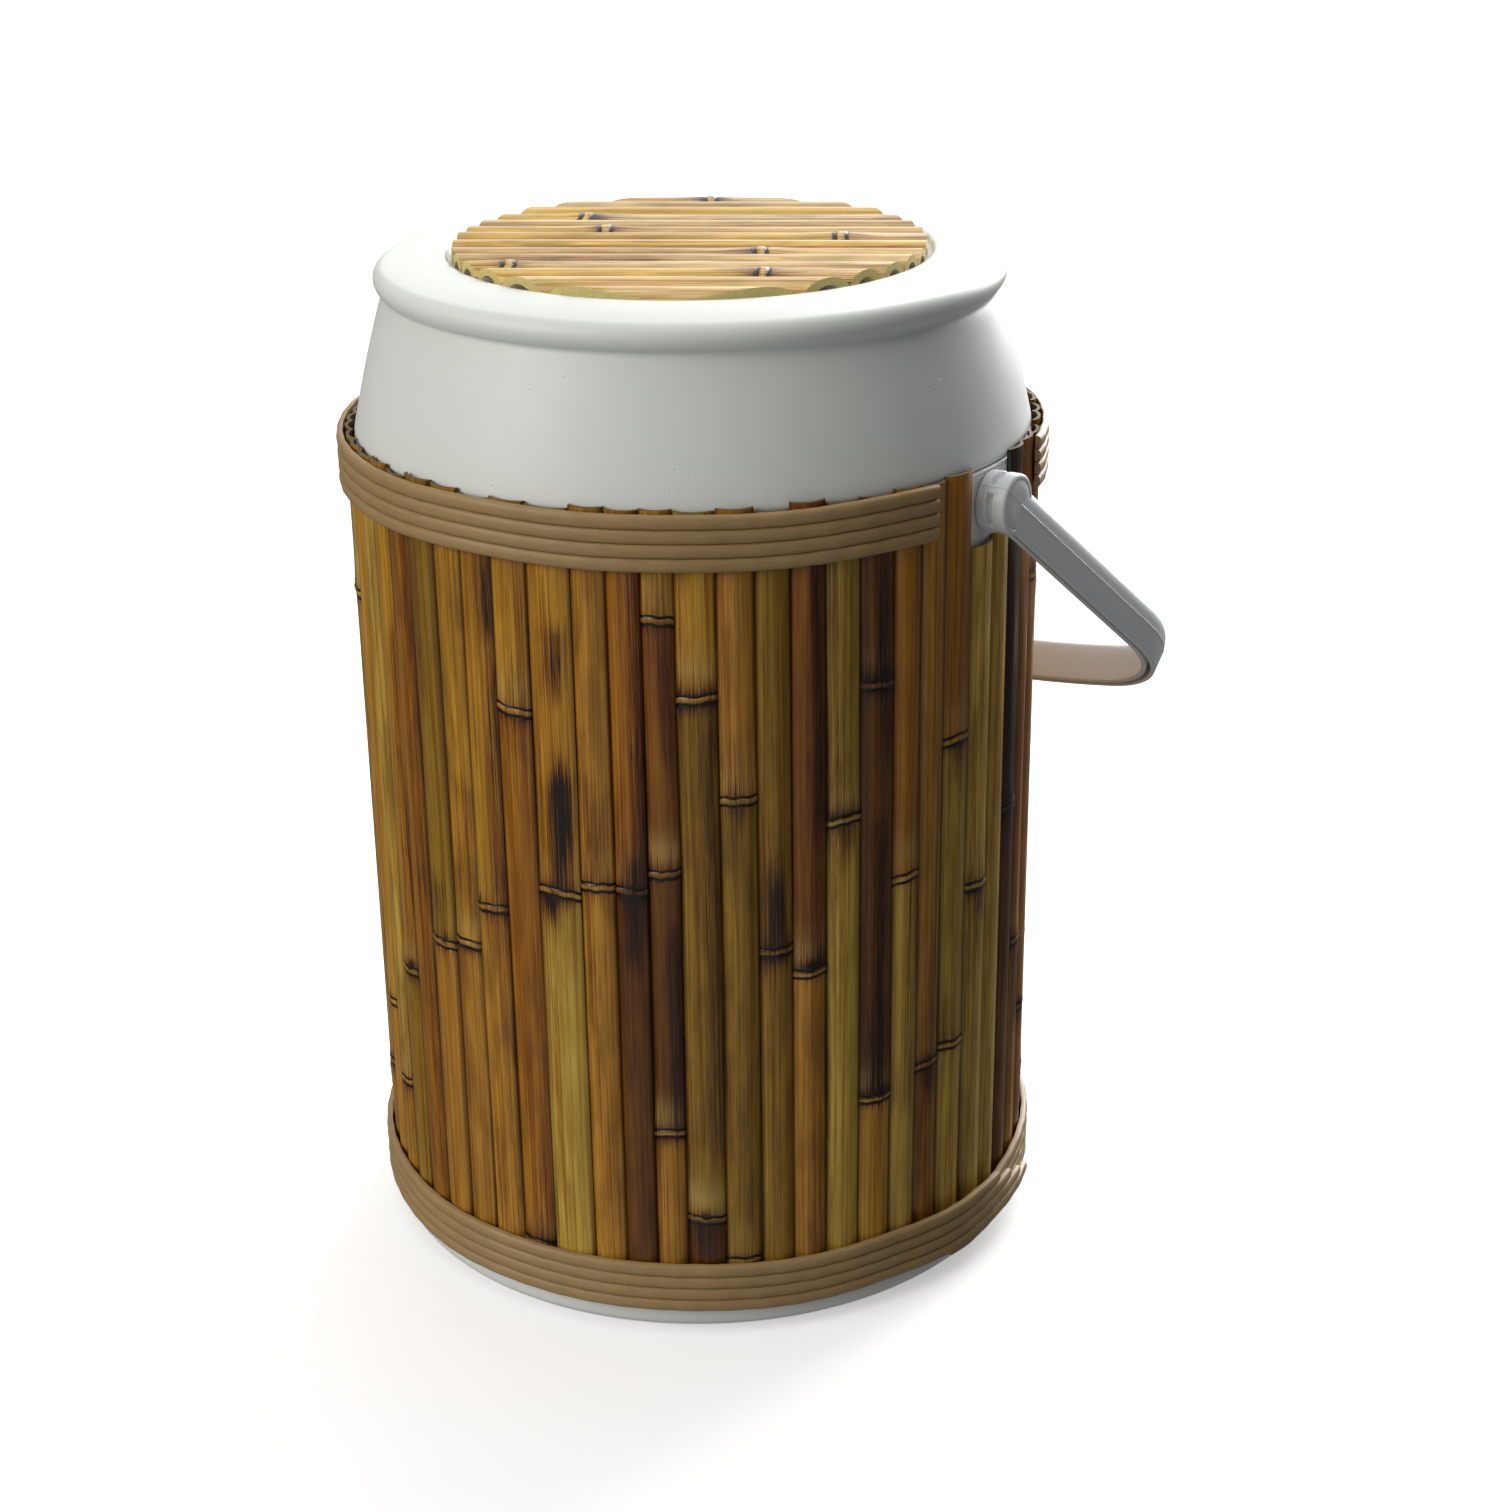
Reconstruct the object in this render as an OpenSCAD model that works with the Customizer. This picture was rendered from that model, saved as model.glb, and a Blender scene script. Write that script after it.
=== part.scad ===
// Drum-shaped insulated cooler, clad in split bamboo canes, with a lift-off lid and a swinging bail.
// Millimetres. +Z is up, the origin is the centre of the base, X is the bail's pivot axis
// and the bail rests behind the drum, on the +Y side.

/* [Drum] */
// Outer radius of the plastic drum wall
wall_r = 159.8; // [150:0.1:165]
// Thickness of the drum's moulded walls
wall_t = 2.5; // [2:0.1:3.5]
// Height of the drum without its lid
drum_h = 402; // [390:1:420]
// Outer radius of the foot that the canes stand on
foot_r = 162.5; // [162:0.1:164]
// Height of the foot
foot_h = 12; // [10:0.5:14]
// Inner radius of the liner that holds the ice and drinks
liner_r = 137; // [130:1:140]
// Thickness of the foam and floor under the liner
floor_h = 20; // [16:1:26]

/* [Lid] */
// Outer radius of the lid's lower lip
lid_lip_r = 159.5; // [150:0.1:159.5]
// Outer radius of the cone where it meets the rim
cone_top_r = 143.4; // [138:0.1:146]
// Height of the cone
cone_h = 65; // [55:1:75]
// Radius of the rounded rim's section
rim_round_r = 6.6; // [5:0.1:8]
// Largest radius of the rim
rim_r = 146.6; // [144:0.1:150]
// Radius of the recess that holds the lid canes
recess_r = 112.5; // [111:0.5:118]
// Depth of that recess
recess_d = 3.2; // [1:0.1:4]
// How far the top's crown stands above its rim
crown_h = 3.2; // [1:0.1:4]
// Depth of the plug that enters the liner
plug_h = 13; // [8:1:20]

/* [Canes] */
// How far a wall cane stands out from the drum wall
cane_h = 5.1; // [4:0.1:5.4]
// Wall thickness of a split cane
cane_t = 1.6; // [1.2:0.1:2.2]
// Height of the cane tops
cane_top = 405; // [395:0.1:406]
// Height of the canes that are cut short under a pivot
short_cane_top = 369; // [360:1:371]
// Radius of the round of lid canes
lid_cane_reach = 110; // [100:1:111]
// Number of lid canes
lid_cane_count = 14; // [12:1:16]
// How far a lid cane stands up
lid_cane_h = 7.5; // [5:0.1:7.5]
// Direction of the lid canes, from +X
lid_cane_turn = 30; // [0:1:90]

/* [Bands] */
// Width of the ribbed bands
band_w = 25; // [20:1:28]
// Outer radius of the bands
band_r = 168; // [167.5:0.1:169]
// Height of the upper band's lower edge
upper_band_z = 380.5; // [370:0.5:382]
// Number of ribs on a band
rib_count = 4; // [3:1:5]
// Angle from a pivot to the upper band's end
band_end_angle = 16; // [12:1:20]
// Angle at which the lower band's ends overlap
overlap_angle = 2; // [-30:1:30]

/* [Handle] */
// Height of the pivot axis
pivot_z = 387; // [380:0.5:387.5]
// Radius of the handle's hubs
hub_r = 13.8; // [12:0.1:14.2]
// Distance from the drum's axis to a hub's outer face
hub_face = 174.6; // [173:0.1:178]
// Distance from the drum's axis to an arm's outer face at its pivot
arm_x = 174.1; // [173:0.1:177]
// Outward lean of the arms, as a slope
arm_lean = 0.152; // [0.08:0.001:0.2]
// Distance from the pivot axis to the middle of the crossbar
reach = 236; // [230:1:250]
// Radius of the crossbar's bow
bow_r = 390; // [300:1:500]
// Radius of the bail's corners
corner_r = 70; // [50:1:80]
// Thickness of the bail in its own plane
bail_t = 7.5; // [7:0.1:9]
// Width of the bail across its own plane
bail_w = 22; // [18:0.5:24]
// Angle of the hanging bail below the horizontal
hang_angle = 40; // [38:0.5:41]

/* [Hidden] */
$fn = 96;
// Clearance between bodies that lift or swing, and between parts that are assembled together.
gap = 0.3;
fit_gap = 0.1;
seat_gap = 0.05;
ROOMY = 400;
sides = [1, -1];
wall_groups = 12;

// Heights and radii that follow from the driving dimensions.
flange_t = 2;
shell_top = drum_h - flange_t;
foam_r = wall_r - wall_t - fit_gap;
liner_t = 2.2;
liner_floor = floor_h + liner_t;
lid_z = drum_h + gap;
cone_top_z = lid_z + cone_h;
rim_z = cone_top_z + rim_round_r + 0.6;
rim_centre_r = rim_r - rim_round_r;
recess_edge = recess_r + 1.2;
crown_angle = atan(2 * crown_h / (rim_centre_r - recess_edge));
rim_join_r = rim_centre_r + rim_round_r * sin(crown_angle);
lid_top_z = rim_z + rim_round_r * cos(crown_angle) + crown_h;
recess_z = lid_top_z - recess_d;
plug_r = liner_r - 1;
plug_z = drum_h - plug_h;
lid_t = 2.5;

// Pivot: a stud with a snap barb, and the hub that turns on it.
stud_r = 6.5;
barb_r = 7.2;
stud_flange_r = 12;
stud_flange_t = 3;
stud_in = wall_r - wall_t - 0.8;
hub_in = wall_r + 0.5;
barb_in = 167.5;
stud_out = 170.6;
window_in = 165.8;
window_w = 1.8;
window_depth = 2.6;
window_arc = 64;

// Bail channel: two thin walls joined by a web along the upper edge.
channel_wall = 2.7;
channel_web = 3.2;

// Width in mm of each wall cane, from the left of the front to the right of the near pivot,
// then the rest of the way round by a gentle rule.
front_start_angle = -131;
front_widths = [17, 18, 16.5, 17, 18, 17, 17.5, 18, 20.5, 16, 15, 14.5, 18, 16.5, 15.5, 16, 16.5,
                17.5, 15, 15, 18, 18, 17, 17, 17];
rest_count = 36;
rest_raw = [for (i = [0:rest_count - 1]) 16.5 + 1.6 * sin(i * 137)];
cane_mid_r = 162;
cane_gap = 0.35;
top_unevenness = 1.2;
ring_length = 2 * PI * cane_mid_r;
rest_scale = (ring_length - sum(front_widths)) / sum(rest_raw);
cane_widths = concat(front_widths, [for (w = rest_raw) w * rest_scale]);
cane_count = len(cane_widths);
// Angle in degrees at which each cane starts, and the end of the last one.
cane_edges = [for (i = 0, a = front_start_angle; i <= cane_count;
    a = a + (i < cane_count ? cane_widths[i] : 0) * 360 / ring_length, i = i + 1) a];

function sum(list, i = 0) = i < len(list) ? list[i] + sum(list, i + 1) : 0;
function arc(cx, cy, r, from, to, steps) =
    [for (i = [0:steps]) let (a = from + (to - from) * i / steps) [cx + r * cos(a), cy + r * sin(a)]];
function mirrored(points) = [for (i = [len(points) - 1:-1:0]) [-points[i][0], points[i][1]]];
// Smallest angle between two directions.
function apart(a, b) = let (d = (((a - b) % 360) + 360) % 360) min(d, 360 - d);

// Outline of the bail in its own plane, a distance in from its outer face.
lean_k = sqrt(1 + arm_lean * arm_lean);
bow_centre = reach - bow_r;
corner_base = arm_x - corner_r * lean_k;
corner_b = corner_base * arm_lean - bow_centre;
corner_c = corner_base * corner_base + bow_centre * bow_centre - pow(bow_r - corner_r, 2);
corner_s = (-corner_b + sqrt(corner_b * corner_b - lean_k * lean_k * corner_c)) / (lean_k * lean_k);
corner_x = corner_base + corner_s * arm_lean;
corner_from = atan2(-arm_lean, 1);
corner_to = atan2(corner_s - bow_centre, corner_x);
function bail_half(inset, back) = concat(
    [[arm_x - inset * lean_k - back * arm_lean, -back]],
    arc(corner_x, corner_s, corner_r - inset, corner_from, corner_to, 14),
    arc(0, bow_centre, bow_r - inset, corner_to, 90, 12));
module bail_outline(inset, back) {
    half = bail_half(inset, back);
    polygon(concat(half, mirrored(half)));
}
module bail_strip(from, to) {
    difference() {
        bail_outline(from, 0);
        bail_outline(to, 1);
    }
}

module ring(r_out, r_in, z, h) {
    translate([0, 0, z])
        difference() {
            cylinder(r = r_out, h = h);
            translate([0, 0, -1]) cylinder(r = r_in, h = h + 2);
        }
}

// Cylinder along +X on the pivot axis, on the right (side 1) or the left (side -1).
module pivot_cylinder(side, r, from, to) {
    translate([side * from, 0, pivot_z])
        rotate([0, side * 90, 0])
            cylinder(r = r, h = to - from);
}

// Drum ---------------------------------------------------------------------------------------

module outer_shell() {
    foot_round = 6;
    color("white")
        difference() {
            rotate_extrude()
                polygon(concat(
                    [[0, 0]],
                    arc(foot_r - foot_round, foot_round, foot_round, -90, 0, 6),
                    [[foot_r, foot_h], [wall_r, foot_h], [wall_r, shell_top],
                     [wall_r - wall_t, shell_top], [wall_r - wall_t, wall_t], [0, wall_t]]));
            for (side = sides)
                pivot_cylinder(side, stud_r + seat_gap, wall_r - 10, wall_r + 5);
        }
}

module inner_liner() {
    color("whitesmoke")
        rotate_extrude()
            polygon([[0, floor_h], [liner_r + liner_t, floor_h], [liner_r + liner_t, shell_top],
                     [wall_r, shell_top], [wall_r, drum_h], [liner_r, drum_h],
                     [liner_r, liner_floor], [0, liner_floor]]);
}

module wall_insulation() {
    color("ivory")
        difference() {
            ring(foam_r, liner_r + liner_t + fit_gap, floor_h, shell_top - floor_h - fit_gap);
            for (side = sides)
                pivot_cylinder(side, stud_flange_r + 1, stud_in - stud_flange_t - 1, wall_r);
        }
}

module base_insulation() {
    color("ivory")
        translate([0, 0, wall_t + fit_gap]) cylinder(r = foam_r, h = floor_h - wall_t - 2 * fit_gap);
}

module pivot_stud(side) {
    color("white") {
        pivot_cylinder(side, stud_flange_r, stud_in - stud_flange_t, stud_in);
        pivot_cylinder(side, stud_r, stud_in - 1, stud_out);
        pivot_cylinder(side, barb_r, barb_in, stud_out - 0.8);
    }
}

// Canes --------------------------------------------------------------------------------------

// Section of a split cane: w wide, h high, its hollow side on the X axis.
module split_cane_section(w, h) {
    r = (w * w / 4 + h * h) / (2 * h);
    difference() {
        translate([0, h - r]) circle(r = r);
        translate([0, h - r]) circle(r = r - cane_t);
        translate([-ROOMY / 2, -ROOMY]) square([ROOMY, ROOMY]);
    }
}

module wall_cane(i) {
    start = cane_edges[i];
    mid = start + cane_widths[i] * 180 / ring_length;
    near_pivot = min(apart(mid, 0), apart(mid, 180)) * ring_length / 360;
    is_short = near_pivot < hub_r + 1.5 + cane_widths[i] / 2;
    top = (is_short ? short_cane_top : cane_top) - top_unevenness * pow(sin(i * 97), 2);
    back_r = wall_r + seat_gap;
    rotate([0, 0, mid - 90])
        translate([0, back_r, foot_h + fit_gap])
            linear_extrude(top - foot_h - fit_gap)
                split_cane_section(cane_widths[i] * back_r / cane_mid_r - cane_gap, cane_h);
}

module wall_canes(group) {
    first = floor(group * cane_count / wall_groups);
    next_first = floor((group + 1) * cane_count / wall_groups);
    color(group % 2 == 0 ? "goldenrod" : "darkgoldenrod")
        for (i = [first:next_first - 1]) wall_cane(i);
}

module lid_cane(i) {
    pitch = 2 * lid_cane_reach / lid_cane_count;
    across = -lid_cane_reach + pitch * (i + 0.5);
    color("burlywood")
        translate([0, 0, recess_z + seat_gap])
            intersection() {
                rotate([0, 0, lid_cane_turn])
                    translate([-ROOMY / 2, across, 0])
                        rotate([90, 0, 90])
                            linear_extrude(ROOMY) split_cane_section(pitch - cane_gap, lid_cane_h);
                cylinder(r = lid_cane_reach, h = lid_cane_h + 1);
            }
}

// Bands --------------------------------------------------------------------------------------

cladding_r = wall_r + cane_h + fit_gap;
band_t = band_r - cladding_r;
rib_h = 1.6;

// Section of a ribbed strip with its flat back at radius r.
module band_section(r, z) {
    rib_w = band_w / rib_count;
    rib_r = (rib_w * rib_w / 4 + rib_h * rib_h) / (2 * rib_h);
    union() {
        translate([r, z]) square([band_t - rib_h + fit_gap, band_w]);
        for (i = [0:rib_count - 1])
            intersection() {
                translate([r + band_t - rib_r, z + rib_w * (i + 0.5)]) circle(r = rib_r);
                translate([r + band_t - rib_h, z + rib_w * i]) square([rib_h, rib_w]);
            }
    }
}

module band_arc(r, z, from, sweep) {
    rotate([0, 0, from])
        rotate_extrude(angle = sweep)
            band_section(r, z);
}

module upper_band(from) {
    color("tan") band_arc(cladding_r, upper_band_z, from + band_end_angle, 180 - 2 * band_end_angle);
}

module lower_band() {
    overlap_sweep = 12;
    low_z = foot_h + 0.5;
    color("tan") {
        rotate_extrude() band_section(cladding_r, low_z);
        band_arc(band_r - rib_h, low_z, overlap_angle, overlap_sweep);
    }
}

// Lid ----------------------------------------------------------------------------------------

// Outline of the lid's outside, inset by t: the recess, the crown, the rounded rim and the cone.
function lid_profile(t) = concat(
    [[0, recess_z - t], [recess_r + t, recess_z - t]],
    crown_points(t),
    arc(rim_centre_r, rim_z, rim_round_r - t, 90 - crown_angle, -55, 12),
    [[cone_top_r - t, cone_top_z], [cone_top_r - t, cone_top_z - 1.2],
     [lid_lip_r - 0.4 - t, lid_z + 5], [lid_lip_r - t, lid_z + 2.5]]);
crown_steps = 5;
function crown_points(t) = [for (i = [0:crown_steps - 1]) let (k = i / crown_steps)
    [recess_edge + t + (rim_join_r - recess_edge - t) * k, lid_top_z - t - crown_h * k * k]];

module lid_shell() {
    color("white")
        rotate_extrude()
            polygon(concat(lid_profile(0), [[lid_lip_r - 1, lid_z], [lid_lip_r - lid_t, lid_z]],
                           [for (i = [len(lid_profile(0)) - 1:-1:0]) lid_profile(lid_t)[i]]));
}

module lid_liner() {
    edge = lid_lip_r - lid_t - fit_gap;
    color("whitesmoke")
        rotate_extrude()
            polygon([[0, plug_z], [plug_r - 2, plug_z], [plug_r, plug_z + 2], [plug_r, lid_z], [edge, lid_z],
                     [edge, lid_z + liner_t], [plug_r - liner_t, lid_z + liner_t],
                     [plug_r - liner_t, plug_z + liner_t], [0, plug_z + liner_t]]);
}

module lid_insulation() {
    inner = plug_r - liner_t - gap;
    base = lid_z + liner_t + gap;
    color("ivory")
        rotate_extrude()
            polygon([[0, plug_z + liner_t + gap], [inner, plug_z + liner_t + gap], [inner, base],
                     [lid_lip_r - lid_t - 2, base], [cone_top_r - lid_t - 1, cone_top_z - 2],
                     [cone_top_r - lid_t - 1, rim_z + rim_round_r - lid_t - 3 * gap],
                     [recess_r, recess_z - lid_t - gap], [0, recess_z - lid_t - gap]]);
}

// Handle -------------------------------------------------------------------------------------

// Snap windows cut into the hub between its two rings, clear of the arm.
module hub_windows(side) {
    translate([side * window_in, 0, 0])
        rotate([0, side * 90, 0])
            for (k = [0:3])
                rotate([0, 0, 45 + 90 * k - window_arc / 2])
                    rotate_extrude(angle = window_arc)
                        translate([hub_r - window_depth, 0]) square([window_depth + 1, window_w]);
}

module hub(side) {
    difference() {
        translate([side * hub_in, 0, 0])
            rotate([0, side * 90, 0]) cylinder(r = hub_r, h = hub_face - hub_in);
        hub_windows(side);
    }
}

module hub_bore(side) {
    translate([side * (hub_in - 1), 0, 0])
        rotate([0, side * 90, 0]) cylinder(r = stud_r + seat_gap, h = barb_in - hub_in + 1);
    translate([side * (barb_in - gap), 0, 0])
        rotate([0, side * 90, 0]) cylinder(r = barb_r + gap, h = stud_out - barb_in + 2 * gap);
}

module handle_bail() {
    color("gainsboro")
        translate([0, 0, pivot_z])
            rotate([-hang_angle, 0, 0])
                difference() {
                    union() {
                        translate([0, 0, bail_w / 2 - channel_web])
                            linear_extrude(channel_web) bail_strip(0, bail_t);
                        translate([0, 0, -bail_w / 2])
                            linear_extrude(bail_w) bail_strip(0, channel_wall);
                        translate([0, 0, -bail_w / 2])
                            linear_extrude(bail_w) bail_strip(bail_t - channel_wall, bail_t);
                        for (side = sides) hub(side);
                    }
                    for (side = sides) hub_bore(side);
                }
}

outer_shell();
inner_liner();
wall_insulation();
base_insulation();
pivot_stud(1);  // pivot_stud_right
pivot_stud(-1);  // pivot_stud_left
upper_band(180);  // upper_band_front
upper_band(0);  // upper_band_back
lower_band();
lid_shell();
lid_liner();
lid_insulation();
handle_bail();
for (i = [1:wall_groups])
    wall_canes(i - 1);
for (i = [1:lid_cane_count])
    lid_cane(i - 1);
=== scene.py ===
"""Looks of a drum-shaped cooler clad in split bamboo canes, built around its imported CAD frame.

Shapes are worked out in millimetres and turned into metres when their meshes are made.
Angles round the drum are in degrees, anticlockwise from +X as seen from above.
"""
import math
import random

import bmesh
import bpy
import numpy as np
from mathutils import Matrix, Vector


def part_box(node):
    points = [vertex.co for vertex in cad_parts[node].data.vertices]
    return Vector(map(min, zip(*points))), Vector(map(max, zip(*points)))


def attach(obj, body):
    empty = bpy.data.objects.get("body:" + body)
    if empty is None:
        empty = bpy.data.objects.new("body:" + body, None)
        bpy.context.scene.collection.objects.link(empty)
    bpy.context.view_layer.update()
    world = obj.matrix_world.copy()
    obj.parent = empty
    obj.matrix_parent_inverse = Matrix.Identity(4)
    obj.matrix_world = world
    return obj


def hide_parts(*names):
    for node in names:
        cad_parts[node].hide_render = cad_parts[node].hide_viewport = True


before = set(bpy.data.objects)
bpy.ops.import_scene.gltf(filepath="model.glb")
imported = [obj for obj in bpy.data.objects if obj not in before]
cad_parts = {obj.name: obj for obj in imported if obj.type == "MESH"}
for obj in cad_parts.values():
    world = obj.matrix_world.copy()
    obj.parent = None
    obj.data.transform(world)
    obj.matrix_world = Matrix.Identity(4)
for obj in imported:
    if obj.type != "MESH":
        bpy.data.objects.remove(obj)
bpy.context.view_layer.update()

MM = 0.001
CAMERA_AZIMUTH = 35

# Drum and lid, as the CAD has them.
WALL_R = 159.8
FOOT_TOP = 12
RIM_ROUND_R = 6.6
RIM_CENTRE_R = 140
CROWN_H = 3.2
RECESS_R = 112.5
RECESS_D = 3.2
RECESS_EDGE = 1.2
GROOVE_R = 142.9
CONE_TOP_R = 143.8
LID_T = 2.5
LINER_R = 137
LINER_T = 2.2
PLUG_R = 136
SHELL_T = 2.5
LID_CANE_REACH = 110
LID_CANE_TURN = 30
PIVOT_Z = 387

# Bands.
RIB_W = 6.25
RIB_COUNT = 4
CLADDING_R = 165
BAND_T = 3.1
BAND_END_ANGLE = 16
LOWER_TAIL_ANGLE = -7
LOWER_OUTER_END = 363

# Bail, in its own plane: x across, s away from the pivot axis.
ARM_X = 174.1
ARM_LEAN = 0.152
REACH = 236
BOW_R = 390
CORNER_R = 70
BAIL_T = 7.5
BAIL_W = 22
HANG_ANGLE = 40
HUB_R = 13.8
HUB_IN = 160.3
HUB_FACE = 174.6
HUB_BORE_R = 10
SEAM_N = 1.15
WINDOW_IN = 165.2
WINDOW_OUT = 168.1
WINDOW_DEPTH = 2.8
WINDOW_ARC = 70

# Canes: where a joint's rings of points and its dark lines lie, on both sides of its middle, and how
# often it has a groove above it or the stub of a side branch.
JOINT_OFFSETS = (0, 0.7, 1.2, 1.5, 1.9, 2.3, 2.8, 3.6, 5, 8, 12, 18, 27, 40)
JOINT_LINE = 1.9
FLUTE_SHARE = 0.55
BUD_SHARE = 0.3

# How far wall canes rise above their CAD tops, and how unevenly lid canes are cut and split.
RAISED_BY = (0.3, 2.5)
LID_CANE_SPREAD = 0.8

# The order of a cane's materials.
OUTSIDE_LOOK = 0
CUT_LOOK = 1
HOLLOW_LOOK = 2

# Tones of bamboo, as 8-bit sRGB.
TONES = {
    # cream is partly the lid canes' own tone and partly painted sheen: paler and whiter than honey.
    "cream": (244, 212, 148),
    "honey": (246, 206, 100),
    "straw": (206, 172, 74),
    "pale_olive": (182, 152, 60),
    "gold": (196, 146, 44),
    "tan": (188, 136, 46),
    "olive": (160, 124, 32),
    "amber": (176, 118, 26),
    "russet": (150, 94, 18),
    "umber": (118, 74, 14),
    "ebony": (66, 38, 10),
}

# The canes that face the camera, from left to right, starting at FIRST_CANE_ANGLE: the heights of
# their joints, the tone of each internode from the bottom up, and their scorches as
# (low, high, side from -1 to 1, strength). The scorches are partly burn marks and partly painted
# shade: most lie on a cane's right half, away from the left light, and darken that flank as shade does.
FIRST_CANE_ANGLE = -131
FRONT_CANES = [
    ((121,), "tan gold", ()),
    ((85,), "gold straw", ()),
    ((154,), "olive gold", ((200, 330, 0.6, 0.35),)),
    ((), "amber", ((40, 390, 0.7, 0.35),)),
    ((182,), "tan olive", ((300, 385, -0.1, 0.4), (185, 215, 0.0, 0.5))),
    ((187,), "tan gold", ((195, 270, 0.6, 0.55),)),
    ((210,), "tan gold", ((340, 385, 0.7, 0.8), (212, 330, 0.8, 0.5))),
    ((37, 310), "tan amber gold", ((20, 36, 0.0, 0.5),)),
    ((226,), "straw gold", ((318, 352, 0.35, 0.95), (228, 285, 0.2, 1.0), (250, 300, 0.5, 0.6),
                            (212, 224, -0.4, 0.9))),
    ((231,), "tan tan", ((240, 275, 0.0, 0.45), (150, 200, -0.3, 0.25))),
    ((230,), "umber amber", ((232, 390, 0.75, 0.7), (190, 228, 0.1, 0.8), (232, 246, 0.0, 0.5))),
    ((108, 239, 358), "tan umber russet gold", ((110, 215, 0.55, 0.85), (290, 350, 0.4, 0.5))),
    ((61, 322), "umber olive gold", ((235, 310, 0.6, 0.6), (90, 235, 0.7, 0.6), (30, 58, 0.0, 0.6))),
    ((38, 274), "olive olive tan", ((262, 272, 0.0, 0.5),)),
    ((199,), "olive olive", ((201, 240, 0.0, 0.9),)),
    ((186,), "tan russet", ((250, 390, 0.4, 0.7),)),
    ((259,), "straw pale_olive", ((240, 257, 0.1, 0.5),)),
    ((113, 320), "gold umber umber", ((118, 255, 0.1, 0.8), (322, 385, 0.2, 0.6), (280, 318, 0.5, 0.5))),
    ((223,), "straw amber", ((100, 215, 0.1, 0.35),)),
    ((121,), "amber tan", ((100, 118, 0.0, 0.6), (125, 190, 0.2, 0.4))),
    ((125, 282), "straw pale_olive amber", ((265, 280, 0.0, 0.6),)),
    ((202,), "straw straw", ((180, 198, 0.0, 0.5),)),
    ((), "straw", ((352, 366, 0.0, 0.7),)),
    ((230,), "umber ebony", ((120, 380, 0.1, 0.7),)),
    ((151,), "gold amber", ((100, 145, 0.0, 0.7),)),
]
LAST_CANE = ((79, 330), "tan gold straw", ())
HIDDEN_TONES = ("straw", "gold", "gold", "tan", "tan", "olive", "pale_olive", "amber", "russet", "umber")

# The lid canes from the front to the back: joints as distances along the cane, tones and scorches.
# Where a cane's tone changes at a joint, honey lies to its left and the paler, whiter cream to its right:
# the cream is partly the canes' own tone and partly painted sheen, matching the brighter centre and right of
# the lid.
LID_CANES = [
    ((), "cream", ()),
    ((), "cream", ()),
    ((38,), "honey cream", ()),
    ((-76,), "honey cream", ((-70, -30, 0.2, 0.3),)),
    ((), "cream", ((-80, -10, -0.5, 0.3),)),
    ((34,), "cream cream", ((38, 108, 0.3, 0.45),)),
    ((), "honey", ()),
    ((70,), "honey cream", ()),
    ((-42,), "honey cream", ((-38, -5, 0.2, 0.3),)),
    ((), "cream", ()),
    ((-54,), "honey cream", ()),
    ((), "honey", ()),
    ((), "cream", ()),
    ((2,), "honey cream", ()),
]

# The CAD pieces that stay as they are, and their materials.
CAD_LOOKS = {
    "wall_insulation": "foam",
    "base_insulation": "foam",
    "lid_insulation": "foam",
    "pivot_stud_right": "pivot_plastic",
    "pivot_stud_left": "pivot_plastic",
}


# Small helpers ----------------------------------------

def linear(tone):
    """An 8-bit sRGB tone as linear RGB."""
    return tuple(c / 255 / 12.92 if c / 255 <= 0.04045 else ((c / 255 + 0.055) / 1.055) ** 2.4
                 for c in tone)


def rgba(tone):
    return (*linear(tone), 1)


def around(angle, radius, z):
    """The point at that angle and radius round the drum."""
    return (radius * math.cos(math.radians(angle)), radius * math.sin(math.radians(angle)), z)


def smooth_step(low, high, value):
    t = np.clip((value - low) / (high - low), 0, 1)
    return t * t * (3 - 2 * t)


def bell(value, centre, width):
    return np.exp(-((value - centre) / width) ** 2)


def new_piece(name, verts, faces, materials, slots=None, attributes=None):
    """A smooth-shaded object from points in millimetres, with doubled points merged."""
    mesh = bpy.data.meshes.new(name)
    mesh.from_pydata([(x * MM, y * MM, z * MM) for x, y, z in verts], [], faces)
    for material in materials:
        mesh.materials.append(material)
    mesh.polygons.foreach_set("use_smooth", [True] * len(faces))
    if slots:
        mesh.polygons.foreach_set("material_index", slots)
    for key, values in (attributes or {}).items():
        values = np.asarray(values, np.float32)
        if values.ndim == 2:
            colours = mesh.attributes.new(key, "FLOAT_COLOR", "POINT")
            alpha = np.ones((len(values), 1), np.float32)
            colours.data.foreach_set("color", np.hstack((values, alpha)).ravel())
        else:
            mesh.attributes.new(key, "FLOAT", "POINT").data.foreach_set("value", values)
    clean(mesh)
    piece = bpy.data.objects.new(name, mesh)
    bpy.context.scene.collection.objects.link(piece)
    return piece


def clean(mesh, merge=0.004):
    """Merges doubled points, drops faces with no area and turns the normals outwards."""
    bm = bmesh.new()
    bm.from_mesh(mesh)
    bmesh.ops.remove_doubles(bm, verts=bm.verts, dist=merge * MM)
    bmesh.ops.dissolve_degenerate(bm, edges=bm.edges, dist=merge * MM)
    bmesh.ops.recalc_face_normals(bm, faces=bm.faces)
    bm.to_mesh(mesh)
    bm.free()


def mark_sharp(piece, degrees):
    """Edges sharper than that shade as edges."""
    bm = bmesh.new()
    bm.from_mesh(piece.data)
    for edge in bm.edges:
        edge.smooth = len(edge.link_faces) == 2 and edge.calc_face_angle(0) < math.radians(degrees)
    bm.to_mesh(piece.data)
    bm.free()


def skin(rings, loop):
    """Points and faces that join rings of equally many points; its ends are closed unless it loops."""
    size = len(rings[0])
    count = len(rings)
    verts = [point for ring in rings for point in ring]
    faces = []
    for i in range(count if loop else count - 1):
        a = i * size
        b = (i + 1) % count * size
        faces += [(a + j, a + (j + 1) % size, b + (j + 1) % size, b + j) for j in range(size)]
    if not loop:
        faces += [tuple(range(size)), tuple(range(len(verts) - size, len(verts)))]
    return verts, faces


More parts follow.
